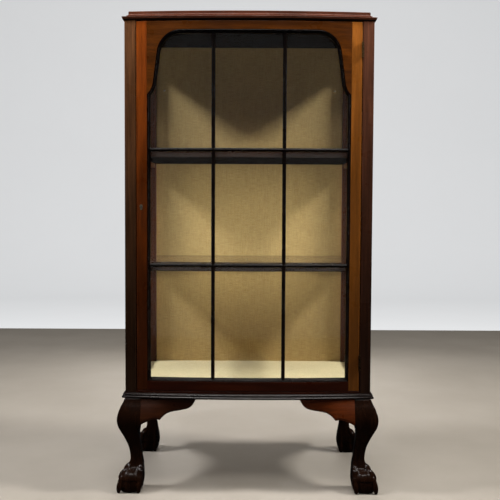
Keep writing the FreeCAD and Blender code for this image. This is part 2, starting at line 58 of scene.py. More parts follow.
POST_IN = 265.8
POST_DEEP = 30.0
POST_REAR = -140.0
BACK_IN = 255.0
BACK_POST_FRONT = 140.0
SIDE_IN = 272.5
SIDE_LOW = 275.0         # the side's opening
SIDE_HIGH = 1070.0
PANE_X = 281.0
BEAD = 8.0
GLASS = 2.5

DOOR_THICK = 20.0
DOOR_HALF = 264.4
DOOR_BOTTOM = 244.7
DOOR_TOP = 1113.3
OPEN_HALF = 239.5
OPEN_BOTTOM = 267.0
OPEN_TOP = 1093.5
SHOULDER_R = 57.0
SHOULDER_X = 159.5
LEAN = radians(7.5)
NECK_Z = 972.0
FLARE_R = 48.0
BAR_X = 83.4
BAR_ZS = (542.9, 815.1)
GLASS_FRONT = 11.0
BAR_WIDE = 9.0
BAR_RIB = 3.0
BAR_SHORT = 7.0          # a bar's ends stop this far inside the moulding
PANE_PLAY = 0.3

SHELF_THICK = 22.0
SHELF_TOPS = (548.0, 821.5)
SHELF_BACK = 46.0
BEARER_WIDE = 15.0
BEARER_HIGH = 12.0
DECK = 253.4
LINING = 1.5
LINING_FACE = 152.0
BACK_BOARD = 5.0
BACK_RAIL = 60.0
STOP_WIDE = 9.0
STOP_DEEP = 8.0

HINGE_HIGH = 36.0
HINGE_ZS = (312.0, 1049.0)
LEAF_THICK = 1.0
LEAF_DEEP = 15.0
LOCK_X = 253.4
LOCK_Z = 680.0
LOCK_WIDE = 23.0
LOCK_HIGH = 46.0
LOCK_DEEP = 10.0
STRIKE_HOLE = (1.2, 6.5, 18.0)       # depth, half the width, half the height
POCKET_HOLE = (10.0, 5.0, 12.0)

BOW_R = (HALF ** 2 + BOW ** 2) / (2 * BOW)
BOW_Y = FRONT - BOW + BOW_R
NECK_X = SHOULDER_X + SHOULDER_R / cos(LEAN) + (OPEN_TOP - SHOULDER_R - NECK_Z) * tan(LEAN)
FLARE_X = NECK_X + FLARE_R * cos(LEAN)
FLARE_Z = NECK_Z + FLARE_R * sin(LEAN)


def bow_y(x, depth=0.0):
    """y of the bowed surface that lies depth behind the front face."""
    return BOW_Y - sqrt((BOW_R - depth) ** 2 - x * x)


# -------- mesh helpers
# A shape is (points, faces), in millimetres.
def join(*shapes):
    """Several shapes as one."""
    points = []
    faces = []
    for more_points, more_faces in shapes:
        base = len(points)
        points += more_points
        faces += [tuple(i + base for i in face) for face in more_faces]
    return points, faces


def flipped(shape, axis):
    """The shape's mirror image across the plane through the origin, square to an axis."""
    signs = [-1 if k == axis else 1 for k in range(3)]
    points = [tuple(c * sign for c, sign in zip(p, signs)) for p in shape[0]]
    return points, [tuple(reversed(face)) for face in shape[1]]


def on_side(shape, left):
    """A shape made for the right side, mirrored where it stands on the left."""
    return flipped(shape, 0) if left else shape


def tube(rings, closed=False):
    """Skin over rings of equal length. Unless it closes on itself, its ends are capped."""
    n = len(rings[0])
    points = [tuple(p) for ring in rings for p in ring]
    faces = []
    count = len(rings)
    for i in range(count if closed else count - 1):
        here = i * n
        there = (i + 1) % count * n
        for k in range(n):
            after = (k + 1) % n
            faces.append((here + k, here + after, there + after, there + k))
    if not closed:
        faces.append(tuple(reversed(range(n))))
        faces.append(tuple(range((count - 1) * n, count * n)))
    return points, faces


def arc(centre, r, start, end, steps):
    """Points on a circle in a section, with angles in degrees."""
    points = []
    for k in range(steps + 1):
        a = radians(start + (end - start) * k / steps)
        points.append((centre[0] + r * cos(a), centre[1] + r * sin(a)))
    return points


def rounded(u, v, r, nu, nv, inset=0.0):
    """Closed outline of a rectangle with rounded corners, its straight sides cut into nu and nv lengths."""
    u0, u1 = u[0] + inset + r, u[1] - inset - r
    v0, v1 = v[0] + inset + r, v[1] - inset - r
    centres = (((u0, v0), 180), ((u1, v0), 270), ((u1, v1), 0), ((u0, v1), 90))
    corners = [arc(centre, r, turn, turn + 90, 3) for centre, turn in centres]
    points = []
    for i, corner in enumerate(corners):
        points += corner
        ua, va = corner[-1]
        ub, vb = corners[(i + 1) % 4][0]
        parts = nv if i % 2 else nu
        points += [(ua + (ub - ua) * (k / parts), va + (vb - va) * (k / parts)) for k in range(1, parts)]
    return points


def board(place, u, v, w, r, nu=1, nw=1):
    """Board with all its edges rounded; w is its length, and place puts (u, v, w) in the frame."""
    stations = [(w[0], 0.6 * r), (w[0] + 0.3 * r, 0.18 * r)]
    stations += [(w[0] + r + (w[1] - w[0] - 2 * r) * k / nw, 0.0) for k in range(nw + 1)]
    stations += [(w[1] - 0.3 * r, 0.18 * r), (w[1], 0.6 * r)]
    rings = []
    for along, inset in stations:
        section = rounded(u, v, r - 0.5 * inset, nu, 1, inset)
        rings.append([place(a, b, along) for a, b in section])
    return tube(rings)


# Ways to place a board: its section's two axes come first, and its length last.
def upright(x, depth, z):
    return (x, bow_y(x, depth), z)


def along_front(z, depth, x):
    return (x, bow_y(x, depth), z)


def plain_upright(x, y, z):
    return (x, y, z)


def along_side(x, z, y):
    return (x, y, z)


def along_back(y, z, x):
    return (x, y, z)


def slab(points, keep, low, high):
    """Solid between two heights over the kept cells of a grid; low and high take (i, j)."""
    ni = len(points)
    nj = len(points[0])
    verts = [(*points[i][j], z(i, j)) for i in range(ni) for j in range(nj) for z in (high, low)]

    def top(i, j):
        return 2 * (i * nj + j)

    faces = []
    for i in range(ni - 1):
        for j in range(nj - 1):
            if not keep(i, j):
                continue
            corners = [top(i, j), top(i + 1, j), top(i + 1, j + 1), top(i, j + 1)]
            faces.append(tuple(corners))
            faces.append(tuple(c + 1 for c in reversed(corners)))
            beside = ((i, j - 1), (i + 1, j), (i, j + 1), (i - 1, j))
            for k, (a, b) in enumerate(beside):
                inside = 0 <= a < ni - 1 and 0 <= b < nj - 1 and keep(a, b)
                if not inside:
                    p = corners[k]
                    q = corners[(k + 1) % 4]
                    faces.append((q, p, p + 1, q + 1))
    return verts, faces


SHARP_GLASS = 10         # degrees: glass keeps its flat faces flat right up to the edges
MERGE = 2e-6             # metres: points closer than this become one
MERGE_WORK = 1e-6        # the same, in shapes that are still to be cut or carved


def added(name, data):
    """New object in the scene."""
    obj = bpy.data.objects.new(name, data)
    bpy.context.scene.collection.objects.link(obj)
    return obj


def solid_mesh(name, shape, merge):
    """Mesh in metres, its points merged where they meet and its faces turned outward."""
    mesh = bpy.data.meshes.new(name)
    mesh.from_pydata([(x * MM, y * MM, z * MM) for x, y, z in shape[0]], [], shape[1])
    bm = bmesh.new()
    bm.from_mesh(mesh)
    bmesh.ops.remove_doubles(bm, verts=bm.verts, dist=merge)
    loose = [v for v in bm.verts if not v.link_faces]
    bmesh.ops.delete(bm, geom=loose, context="VERTS")
    bmesh.ops.recalc_face_normals(bm, faces=bm.faces)
    bm.to_mesh(mesh)
    bm.free()
    return mesh


def piece(name, shape, body, material, nodes, angle=32):
    """Mesh object that rides on a body, takes one of the materials made here, and stands for CAD nodes,
    which it hides.
    """
    mesh = solid_mesh(name, shape, MERGE)
    mesh.shade_smooth()
    mesh.set_sharp_from_angle(angle=radians(angle))
    mesh.materials.append(materials[material])
    obj = added(name, mesh)
    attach(obj, body)
    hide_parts(*nodes)
    if angle > SHARP_GLASS:
        normals = obj.modifiers.new("normals", "WEIGHTED_NORMAL")
        normals.keep_sharp = True
    return obj


def worked(obj, *tools):
    """Shape of an object with its modifiers applied. The object and its tools are removed."""
    depsgraph = bpy.context.evaluated_depsgraph_get()
    mesh = bpy.data.meshes.new_from_object(obj.evaluated_get(depsgraph))
    points = [tuple(c / MM for c in v.co) for v in mesh.vertices]
    faces = [tuple(p.vertices) for p in mesh.polygons]
    for used in (obj, *tools):
        bpy.data.objects.remove(used)
    return points, faces


def cut(shape, *cutters):
    """The shape with the cutters taken out of it."""
    obj = added("work", solid_mesh("work", shape, MERGE_WORK))
    tools = []
    for i, cutter in enumerate(cutters):
        name = "tool_%d" % i
        tool = added(name, solid_mesh(name, cutter, MERGE_WORK))
        modifier = obj.modifiers.new("cut", "BOOLEAN")
        modifier.operation = "DIFFERENCE"
        modifier.solver = "EXACT"
        modifier.object = tool
        tools.append(tool)
    return worked(obj, *tools)


def brick(x0, x1, y0, y1, z0, z1):
    """Plain block, used to cut housings."""
    return tube([[(x, y0, z0), (x, y1, z0), (x, y1, z1), (x, y0, z1)] for x in (x0, x1)])


# -------- materials
def settle(tree, node, values):
    """Give a node's inputs their values, or links where a value is another node's output."""
    for name, value in values.items():
        if isinstance(value, bpy.types.NodeSocket):
            tree.links.new(value, node.inputs[name])
        else:
            node.inputs[name].default_value = value


def new_node(tree, kind, values, operation=None):
    """New shader node with its inputs settled."""
    node = tree.nodes.new("ShaderNode" + kind)
    if operation:
        node.operation = operation
    settle(tree, node, values)
    return node


materials = {}


def new_material(name):
    """Material kept by its name; returns its node tree and its shader."""
    materials[name] = bpy.data.materials.new(name)
    materials[name].use_nodes = True
    tree = materials[name].node_tree
    return tree, tree.nodes["Principled BSDF"]


EVEN = (1.0, 1.0, 1.0)


def coordinates(tree, stretch, shift):
    """Place on the object in metres, moved by shift and scaled by stretch."""
    where = new_node(tree, "TexCoord", {}).outputs["Object"]
    mapping = new_node(tree, "Mapping", {"Vector": where, "Location": shift, "Scale": stretch})
    return mapping.outputs["Vector"]


def noise_node(vector, scale, detail, rough, distortion=0.0):
    """Noise from 0 to 1, with so many spots to the metre."""
    node = new_node(vector.id_data, "TexNoise", {"Vector": vector, "Scale": scale, "Detail": detail,
                                                 "Roughness": rough, "Distortion": distortion})
    return node.outputs["Fac"]


def ramp(value, stops):
    """Colours at given places between 0 and 1."""
    node = new_node(value.id_data, "ValToRGB", {"Fac": value})
    elements = node.color_ramp.elements
    while len(elements) < len(stops):
        elements.new(0.5)
    for element, (position, colour) in zip(elements, stops):
        element.position = position
        element.color = (*colour, 1.0)
    return node.outputs["Color"]


def spread(value, low, high, out_low, out_high):
    """A value from low to high, spread from out_low to out_high."""
    node = new_node(value.id_data, "MapRange", {"Value": value, "From Min": low, "From Max": high,
                                                "To Min": out_low, "To Max": out_high})
    return node.outputs["Result"]


def maths(operation, a, b):
    """The result of an operation on two values, the first of them another node's output."""
    return new_node(a.id_data, "Math", {0: a, 1: b}, operation).outputs["Value"]


def mixture(*parts):
    """Sum of values, each with its weight."""
    total = None
    for value, weight in parts:
        part = maths("MULTIPLY", value, weight)
        total = maths("ADD", total, part) if total else part
    return total


def multiplied(colour, value):
    """A colour darkened by a value from 0 to 1."""
    node = new_node(colour.id_data, "VectorMath", {0: colour, "Scale": value}, "SCALE")
    return node.outputs["Vector"]


def bump(height, strength, distance):
    """Normal of a surface with a fine relief, its distance in metres."""
    node = new_node(height.id_data, "Bump", {"Height": height, "Strength": strength, "Distance": distance})
    return node.outputs["Normal"]


ALONG = {"x": (0.035, 1.0, 1.0), "y": (1.0, 0.035, 1.0), "z": (1.0, 1.0, 0.035)}


def srgb(r, g, b):
    """Linear colour from 8-bit display values."""
    out = []
    for c in (r, g, b):
        c = c / 255
        out.append(c / 12.92 if c <= 0.04045 else ((c + 0.055) / 1.055) ** 2.4)
    return tuple(out)


def painted_height_shade(tree, low):
    """Painted shade: 1 at the top of the case, falling to low at its base, standing in for the light that
    falls off towards the floor.
    """
    where = new_node(tree, "TexCoord", {}).outputs["Object"]
    height = new_node(tree, "SeparateXYZ", {"Vector": where}).outputs["Z"]
    up = spread(height, LEG_HEIGHT * MM, CASE_TOP * MM, 0.0, 1.0)
    return spread(maths("POWER", up, 2.6), 0.0, 1.0, low, 1.0)


def wood(name, tone, axis, seed, rough=0.3, coat=0.12, figure=0.5, low=1.0, shine=0.12, contrast=0.45):
    """Polished wood: streaks along the grain, a broader figure, pores, a slightly uneven film, and painted
    shade towards the base.

    tone is its middle tone in display values, and contrast sets how far its other tones are from it. low is
    how dark the painted shade makes it at the base of the case.
    """
    tree, shader = new_material(name)
    shift = (seed * 0.37, seed * 0.71, seed * 0.53)
    grain_at = coordinates(tree, ALONG[axis], shift)
    figure_at = coordinates(tree, tuple(0.12 if s < 1 else 1.0 for s in ALONG[axis]), shift)
    even_at = coordinates(tree, EVEN, shift)
    streaks = noise_node(grain_at, 210.0, 6.0, 0.62, 0.5)
    broad = noise_node(figure_at, 26.0, 3.0, 0.5, 1.2)
    pores = noise_node(grain_at, 1500.0, 2.0, 0.6, 0.1)
    mixed = mixture((streaks, 1.0 - figure), (broad, figure))
    middle = srgb(*tone)
    dark = tuple(c * (1 - contrast) for c in middle)
    light = tuple(c * (1 + 1.5 * contrast) for c in middle)
    colour = ramp(mixed, ((0.33, dark), (0.5, middle), (0.66, light)))
    shade = spread(pores, 0.34, 0.47, 0.72, 1.0)
    # pores, times painted shade that darkens the wood towards the base of the case
    pores_and_painted_shade = maths("MULTIPLY", shade, painted_height_shade(tree, low))
    smear = noise_node(even_at, 14.0, 3.0, 0.6)
    wave = noise_node(even_at, 22.0, 2.0, 0.5)
    relief = mixture((wave, 2.2), (shade, 0.5), (streaks, 0.35))
    settle(tree, shader, {"Base Color": multiplied(colour, pores_and_painted_shade),
                          "Roughness": spread(smear, 0.3, 0.7, rough - 0.06, rough + 0.08),
                          "Specular IOR Level": shine, "IOR": 1.5,
                          "Coat Weight": coat, "Coat Roughness": 0.1, "Coat IOR": 1.4,
                          "Normal": bump(relief, 0.35, 0.0004)})


RIBS = 1000.0            # of the cloth, to the metre


def cloth(name, dark, middle, light, seed, axis):
    """Woven lining with ribs along x and warps along an axis, slubs and a little fading."""
    tree, shader = new_material(name)
    shift = (seed * 0.31, seed * 0.17, seed * 0.43)
    slubs = noise_node(coordinates(tree, (0.05, 1.0, 1.0), shift), RIBS, 3.0, 0.6)
    warp_stretch = tuple(0.05 if s < 1 else 1.0 for s in ALONG[axis])
    warps = noise_node(coordinates(tree, warp_stretch, shift), 0.8 * RIBS, 2.0, 0.6)
    fading = noise_node(coordinates(tree, EVEN, shift), 5.0, 3.0, 0.55)
    threads = mixture((slubs, 0.65), (warps, 0.35))
    weave = ramp(threads, ((0.36, srgb(*dark)), (0.5, srgb(*middle)), (0.64, srgb(*light))))
    fade = spread(fading, 0.3, 0.7, 0.9, 1.0)
    settle(tree, shader, {"Base Color": multiplied(weave, fade),
                          "Roughness": spread(fading, 0.3, 0.7, 0.78, 0.92),
                          "Sheen Weight": 0.1, "Sheen Roughness": 0.5,
                          "Normal": bump(threads, 0.6, 0.0006)})


def brass(name, tone, seed):
    """Aged brass: dulled and darker in patches, with fine scratches."""
    tree, shader = new_material(name)
    shift = (seed * 0.2, seed * 0.4, seed * 0.3)
    patches = noise_node(coordinates(tree, EVEN, shift), 160.0, 4.0, 0.6)
    scratches = noise_node(coordinates(tree, (1.0, 1.0, 0.08), shift), 2600.0, 2.0, 0.5)
    dark = tuple(c * 0.35 for c in tone)
    settle(tree, shader, {"Base Color": ramp(patches, ((0.35, dark), (0.6, tone))),
                          "Roughness": spread(patches, 0.3, 0.7, 0.45, 0.22),
                          "Metallic": 1.0, "Normal": bump(scratches, 0.25, 0.0001)})


def pane_glass(name):
    """Old drawn glass: nearly clear, faintly uneven. Lamps shine through it unbent."""
    tree, shader = new_material(name)
    ripple = noise_node(coordinates(tree, (1.0, 1.0, 0.4), (0.0, 0.0, 0.0)), 9.0, 1.0, 0.4)
    specks = noise_node(coordinates(tree, EVEN, (3.0, 1.0, 2.0)), 60.0, 3.0, 0.6)
    tint = ramp(specks, ((0.3, (0.93, 0.955, 0.94)), (0.7, (0.965, 0.98, 0.97))))
    settle(tree, shader, {"Base Color": tint, "Roughness": spread(specks, 0.35, 0.75, 0.0, 0.03),
                          "Transmission Weight": 1.0, "IOR": 1.25,
                          "Normal": bump(ripple, 0.25, 0.0008)})
    clear = new_node(tree, "BsdfTransparent", {"Color": (0.93, 0.95, 0.94, 1.0)})
    path = new_node(tree, "LightPath", {}).outputs
    passing = maths("MAXIMUM", path["Is Shadow Ray"], path["Is Diffuse Ray"])
    mix = new_node(tree, "MixShader", {"Fac": passing, 1: shader.outputs["BSDF"], 2: clear.outputs["BSDF"]})
    settle(tree, tree.nodes["Material Output"], {"Surface": mix.outputs["Shader"]})


def plain(name, low, high, rough, scale):
    """Plain painted surface for the room, mottled between two tones in display values."""
    tree, shader = new_material(name)
    mottle = noise_node(coordinates(tree, EVEN, (0.0, 0.0, 0.0)), scale, 4.0, 0.6)
    colour = ramp(mottle, ((0.3, srgb(*low)), (0.7, srgb(*high))))
    settle(tree, shader, {"Base Color": colour, "Roughness": rough})


# low sets how dark each wood's painted shade is at the base of the case.
wood("post_left_wood", (100, 64, 38), "z", 1.0, figure=0.4, low=0.08)
wood("post_right_wood", (90, 54, 38), "z", 2.0, figure=0.4, low=0.09)
wood("side_wood", (84, 42, 24), "y", 3.0)
wood("back_post_wood", (72, 36, 20), "z", 4.0)
wood("top_wood", (80, 42, 28), "x", 5.0, rough=0.26, coat=0.5)
# Unpolished undersides, painted dark with the shade that falls under the top's lip and under the shelves.
wood("matt_underside_painted_shade", (24, 15, 10), "x", 5.5, rough=0.8, coat=0.0, shine=0.0)
wood("stile_left_wood", (122, 56, 12), "z", 6.0, low=0.1)
wood("stile_right_wood", (146, 86, 30), "z", 7.0, low=0.22)
wood("rail_wood", (72, 36, 6), "x", 8.0, figure=0.6, contrast=0.55)
wood("low_rail_wood", (34, 9, 2), "x", 9.0)
wood("ebony", (9, 5, 4), "z", 10.0, rough=0.24, coat=0.25)
wood("ebony_level", (9, 5, 4), "x", 11.0, rough=0.24, coat=0.25)
wood("base_gloss", (14, 7, 5), "x", 11.5, rough=0.22, coat=0.9, shine=0.5)
wood("leg_wood", (18, 7, 3), "z", 12.0, rough=0.24, shine=0.08)
# The brackets are one wood in two tones: a lit tone painted on the right front bracket, and a shaded tone
# on the rest.
wood("bracket_painted_shade", (34, 14, 5), "x", 13.0)
wood("bracket_painted_light", (56, 22, 5), "x", 14.0)
wood("shelf_wood", (46, 28, 20), "x", 15.0, rough=0.2, coat=0.6)
wood("bearer_wood", (62, 32, 20), "y", 16.0)
wood("stop_wood", (50, 24, 14), "z", 17.0)
wood("raw_wood", (124, 86, 54), "z", 18.0, rough=0.6, coat=0.0)
wood("raw_level", (118, 80, 50), "x", 19.0, rough=0.6, coat=0.0)
cloth("back_cloth", (184, 150, 94), (200, 167, 108), (214, 184, 126), 1.0, "z")
cloth("deck_cloth", (192, 172, 130), (206, 187, 145), (218, 202, 162), 2.0, "y")
brass("brass_metal", (0.13, 0.08, 0.035), 1.0)
brass("steel_metal", (0.5, 0.46, 0.38), 2.0)
brass("worn_metal", (0.85, 0.74, 0.54), 3.0)
pane_glass("clear_glass")


# -------- top and base mouldings
FRONT_CUTS = 48


def around(out, z):
    """Points round the front at a distance beyond the case, from the left corner to the right one."""
    xs = [(HALF + out) * (2 * i / FRONT_CUTS - 1) for i in range(FRONT_CUTS + 1)]
    return [(x, bow_y(x, -out), z) for x in xs]


def ring_of(out, z):
    """Closed outline at one height: round the front, and back along y = BACK."""
    front = around(out, z)
    return front + [(x, BACK, z) for x, y, z in reversed(front)]


def top_shape():
    """Top board, its edge moulded with a thumb, a lip and a hollow up to a raised fillet."""
    lip = CASE_TOP + 7.0
    section = [(-0.2, CASE_TOP)]
    section += arc((-0.2, CASE_TOP + 5.0), 4.9, -80, -10, 6)
    section += arc((4.5, lip), 1.3, -60, 70, 6)
    section += [(1.0, lip + 2.2), (-3.6, lip + 2.9), (-4.3, lip + 3.2), (-4.5, lip + 3.8)]
    section += [(-4.5, lip + 5.2)]
    section += arc((-4.5, lip + 9.4), 4.1, -100, -172, 7)
    section += [(-8.7, lip + 11.0), (-8.7, HEIGHT - 1.7)]
    section += arc((-10.1, HEIGHT - 1.5), 1.5, 8, 90, 5)
    rings = [ring_of(out, z) for out, z in section]
    points, faces = tube(rings)
    faces = faces[:-2]
    n = FRONT_CUTS + 1
    for base, turn in ((0, True), ((len(rings) - 1) * 2 * n, False)):
        for i in range(FRONT_CUTS):
            quad = (base + i, base + i + 1, base + 2 * n - 2 - i, base + 2 * n - 1 - i)
            faces.append(tuple(reversed(quad)) if turn else quad)
    return points, faces


def base_shape():
    """Two rounded beads and a fillet, mitred round the front corners and running to the back."""
    low = LEG_HEIGHT
    section = [(-1.5, low), (3.8, low)]
    section += arc((4.5, low + 3.2), 3.2, -75, 75, 8)
    section += [(4.1, low + 6.6)]
    section += arc((3.2, low + 9.2), 2.1, -55, 60, 6)
    section += [(2.4, low + 12.0), (1.6, low + 12.3), (1.6, low + 13.5), (-1.5, low + 13.5)]
    rings = []
    for out, z in section:
        front = around(out, z)
        rings.append([(front[0][0], BACK, z)] + front + [(front[-1][0], BACK, z)])
    return tube(list(zip(*rings)))


def unpolish_and_shade_underside(obj, tilt=0.9):
    """Faces of a board that look down are left matt, and painted dark with the shade that falls under it.
    """
    obj.data.materials.append(materials["matt_underside_painted_shade"])
    for polygon in obj.data.polygons:
        if polygon.normal.z < -tilt:
            polygon.material_index = 1


top = piece("top", top_shape(), "case", "top_wood", ["top_board"])
# Faces of the top that look down, the lip's cove among them, take painted shade.
unpolish_and_shade_underside(top, 0.3)
piece("base_moulding", base_shape(), "case", "base_gloss",
      ["base_moulding_front", "base_moulding_left", "base_moulding_right"])


# -------- case
def post_front(x, v, z):
    """v runs from the bowed face, 0, to the flat back of the post, 1."""
    near = bow_y(x)
    return (x, near + (POST_REAR - near) * v, z)


def front_post_shape():
    """Upright with a softened outer arris."""
    section = rounded((POST_IN, HALF), (0.0, POST_DEEP), 1.0, 3, 1)
    return tube([[post_front(x, v / POST_DEEP, z) for x, v in section] for z in (LEG_HEIGHT, CASE_TOP)])


def leaf_boxes(x0, x1):
    """Housings of the hinges' leaves, between two values of x."""
    y = bow_y((POST_IN + DOOR_HALF) / 2) + 0.4
    half = HINGE_HIGH / 2
    return [brick(x0, x1, y - 8.0, y + LEAF_DEEP, z - half, z + half) for z in HINGE_ZS]


def bolt_hole(deep, half_wide, half_high):
    """Hole in the left post in line with the bolt, open towards the door."""
    y = bow_y(POST_IN, DOOR_THICK / 2 + 4.0)
    return brick(-POST_IN - deep, -POST_IN + 1.0, y - half_wide, y + half_wide,
                 LOCK_Z - half_high, LOCK_Z + half_high)


left_post = cut(flipped(front_post_shape(), 0), bolt_hole(*STRIKE_HOLE), bolt_hole(*POCKET_HOLE))
right_post = cut(front_post_shape(), *leaf_boxes(POST_IN - 0.5, POST_IN + LEAF_THICK))
piece("post_front_left", left_post, "case", "post_left_wood", ["front_post_left"])
piece("post_front_right", right_post, "case", "post_right_wood", ["front_post_right"])


def side_frame_path(inset, x):
    """Corners of the side's opening moved in by inset."""
    y = BACK_POST_FRONT - inset
    low = SIDE_LOW + inset
    high = SIDE_HIGH - inset
    return [(x, -y, low), (x, y, low), (x, y, high), (x, -y, high)]


def frame_ring(section):
    """Mitred frame round the side's opening, from a section of (inset, x)."""
    paths = [side_frame_path(inset, x) for inset, x in section]
    return tube(list(zip(*paths)), closed=True)


def outer_bead():
    """Section of the moulding outside the side's glass, as (inset, x)."""
    glass = PANE_X + GLASS
    return [(0.0, glass), (0.0, HALF - 1.2), (0.5, HALF - 0.7), (1.6, HALF - 0.6), (2.4, HALF - 1.2),
            (2.7, HALF - 2.4), (3.4, HALF - 4.4), (4.8, HALF - 6.0), (6.8, HALF - 6.9),
            (7.8, HALF - 7.4), (BEAD, HALF - 8.2), (BEAD, glass)]


def inner_bead():
    """Section of the bead inside the side's glass."""
    return [(0.0, PANE_X), (BEAD, PANE_X), (BEAD, PANE_X - 1.8), (6.5, PANE_X - 3.6), (3.6, PANE_X - 6.6),
            (2.4, SIDE_IN + 0.7), (0.6, SIDE_IN + 0.5), (0.0, SIDE_IN + 0.9)]


for side, left in (("right", False), ("left", True)):
    for name, span in (("top", (SIDE_HIGH, CASE_TOP)), ("bottom", (LEG_HEIGHT, SIDE_LOW))):
        rail = board(along_side, (SIDE_IN, HALF), span, (POST_REAR, BACK_POST_FRONT), 0.7)
        node = "side_%s_rail_%s" % (name, side)
        piece("side_%s_%s" % (name, side), on_side(rail, left), "case", "side_wood", [node])
    post = board(plain_upright, (BACK_IN, HALF), (BACK_POST_FRONT, BACK), (LEG_HEIGHT, CASE_TOP), 1.0)
    piece("post_back_" + side, on_side(post, left), "case", "back_post_wood",
          ["back_post_" + side])
    beads = join(frame_ring(outer_bead()), frame_ring(inner_bead()))
    piece("side_bead_" + side, on_side(beads, left), "case", "ebony",
          ["side_beads_" + side])
    pane = board(along_side, (PANE_X, PANE_X + GLASS), (SIDE_LOW, SIDE_HIGH),
                 (POST_REAR, BACK_POST_FRONT), 0.3)
    piece("side_glass_" + side, on_side(pane, left), "case", "clear_glass", ["side_pane_" + side],
          SHARP_GLASS)

low_rail = board(along_front, (LEG_HEIGHT, DOOR_BOTTOM - 1.5), (0.0, DOOR_THICK + 2.0), (-POST_IN, POST_IN),
                 0.6, nw=40)
piece("front_rail", low_rail, "case", "low_rail_wood", ["front_bottom_rail"])


# -------- boards inside the case
def plan_grid(xs, front, rows):
    """Grid of (x, y): the first rows follow the bowed front, and the rest are level lines."""
    return [[(x, front(x, j)) for j in range(rows)] for x in xs]


def spaced(edges, step):
    """Numbers from the first edge to the last, through every edge, at most step apart."""
    out = [edges[0]]
    for a, b in zip(edges, edges[1:]):
        parts = max(1, round((b - a) / step))
        out += [a + (b - a) * k / parts for k in range(1, parts + 1)]
    return out


def shelf_shape(top):
    """Shelf with a rounded bowed nose, notched round the back posts."""
    side = SIDE_IN - 1.0
    gap = 0.5
    nose = 2.5
    xs = spaced((-side, -BACK_IN + gap, BACK_IN - gap, side), 14.0)
    curved = 5
    last = curved + 5

    def row_y(x, j):
        front = bow_y(x, SHELF_BACK)
        if j <= curved:
            return front + nose * (1 - cos(pi / 2 * j / curved))
        if j == last:
            return LINING_FACE - gap
        rear = BACK_POST_FRONT - gap
        return front + nose + (rear - front - nose) * (j - curved) / (last - 1 - curved)

    def fall(j):
        return nose * (1 - sin(pi / 2 * min(j, curved) / curved))

    def keep(i, j):
        middle = (xs[i] + xs[i + 1]) / 2
        return j < last - 1 or abs(middle) < BACK_IN - gap

    grid = plan_grid(xs, row_y, last + 1)
    under = top - SHELF_THICK
    return slab(grid, keep, lambda i, j: under + fall(j), lambda i, j: top - fall(j))


def floor_shape(z0, z1, depth, corner_x, ripple=0.0):
    """Board or cloth over the floor of the case, cut round the four posts."""
    xs = spaced((-SIDE_IN, -corner_x, -BACK_IN, BACK_IN, corner_x, SIDE_IN), 12.0)
    rows = 18
    ends = (POST_REAR, BACK_POST_FRONT, LINING_FACE)

    def row_y(x, j):
        if j == 0:
            return min(bow_y(x, depth), POST_REAR - 0.01)
        if j == rows:
            return ends[2]
        return ends[0] + (ends[1] - ends[0]) * (j - 1) / (rows - 2)

    def keep(i, j):
        middle = abs(xs[i] + xs[i + 1]) / 2
        if j == 0:
            return middle < corner_x
        return j < rows - 1 or middle < BACK_IN

    def high(i, j):
        return z1 + ripple * noise.noise(Vector((xs[i] * 0.02, j * 0.4, 1.7)))

    return slab(plan_grid(xs, row_y, rows + 1), keep, lambda i, j: z0, high)


def back_sheet():
    """Lining stretched over the back, very slightly uneven."""
    xs = spaced((-BACK_IN, BACK_IN), 12.0)
    zs = spaced((DECK + LINING, CASE_TOP), 14.0)
    grid = [[(x, z) for z in zs] for x in xs]
    flat, faces = slab(grid, lambda i, j: True, lambda i, j: 0.0, lambda i, j: LINING)
    points = []
    for x, z, thick in flat:
        wave = 0.35 * noise.noise(Vector((x * 0.012, z * 0.02, 4.2))) if thick > 0 else 0.0
        points.append((x, LINING_FACE + LINING - thick + max(wave, -0.3), z))
    return points, faces


for name, height in zip(("lower", "upper"), SHELF_TOPS):
    shelf = piece("shelf_board_" + name, shelf_shape(height), "case", "shelf_wood",
                  ["shelf_" + name])
    # The shelf's underside is matt and painted dark as shade.
    unpolish_and_shade_underside(shelf)

bearers = []
for height in SHELF_TOPS:
    under = height - SHELF_THICK
    edge = SIDE_IN - 0.5
    bar = board(along_side, (edge - BEARER_WIDE, edge), (under - BEARER_HIGH, under),
                (POST_REAR, BACK_POST_FRONT), 1.5)
    bearers += [bar, flipped(bar, 0)]
piece("bearers", join(*bearers), "case", "bearer_wood", ["shelf_bearers"])

floor_board = floor_shape(DECK - BOARD, DECK, DOOR_THICK + 2.0, POST_IN)
piece("floor_board", floor_board, "case", "raw_level", ["bottom_board"])
deck = piece("deck_cover", floor_shape(DECK, DECK + LINING, DOOR_THICK + 2.5, POST_IN - STOP_WIDE, 0.3),
             "case", "deck_cloth", ["deck_lining"])
lining = piece("back_cover", back_sheet(), "case", "back_cloth", ["back_lining"])

board_face = LINING_FACE + LINING
panel = board(along_back, (board_face, board_face + BACK_BOARD), (DECK, CASE_TOP), (-BACK_IN, BACK_IN), 0.6)
piece("back_boards", panel, "case", "raw_wood", ["back_panel"])
for name, span in (("top", (CASE_TOP - BACK_RAIL, CASE_TOP)), ("bottom", (DECK, DECK + BACK_RAIL))):
    rail = board(along_back, (board_face + BACK_BOARD, BACK), span, (-BACK_IN, BACK_IN), 1.2)
    piece("back_rail_" + name, rail, "case", "raw_level", ["back_%s_rail" % name])

stop_front = DOOR_THICK + 0.5
stop_inner = POST_IN - STOP_WIDE
stop = board(upright, (stop_inner, POST_IN), (stop_front, stop_front + STOP_DEEP), (DECK, CASE_TOP), 0.8)
over = board(along_front, (CASE_TOP - STOP_WIDE, CASE_TOP), (stop_front, stop_front + STOP_DEEP),
             (-stop_inner, stop_inner), 0.8, nw=30)
piece("stops", join(stop, flipped(stop, 0), over), "case", "stop_wood", ["door_stops"])


# -------- door
BOTTOM_POINTS = 15       # of an outline, before it turns up the side


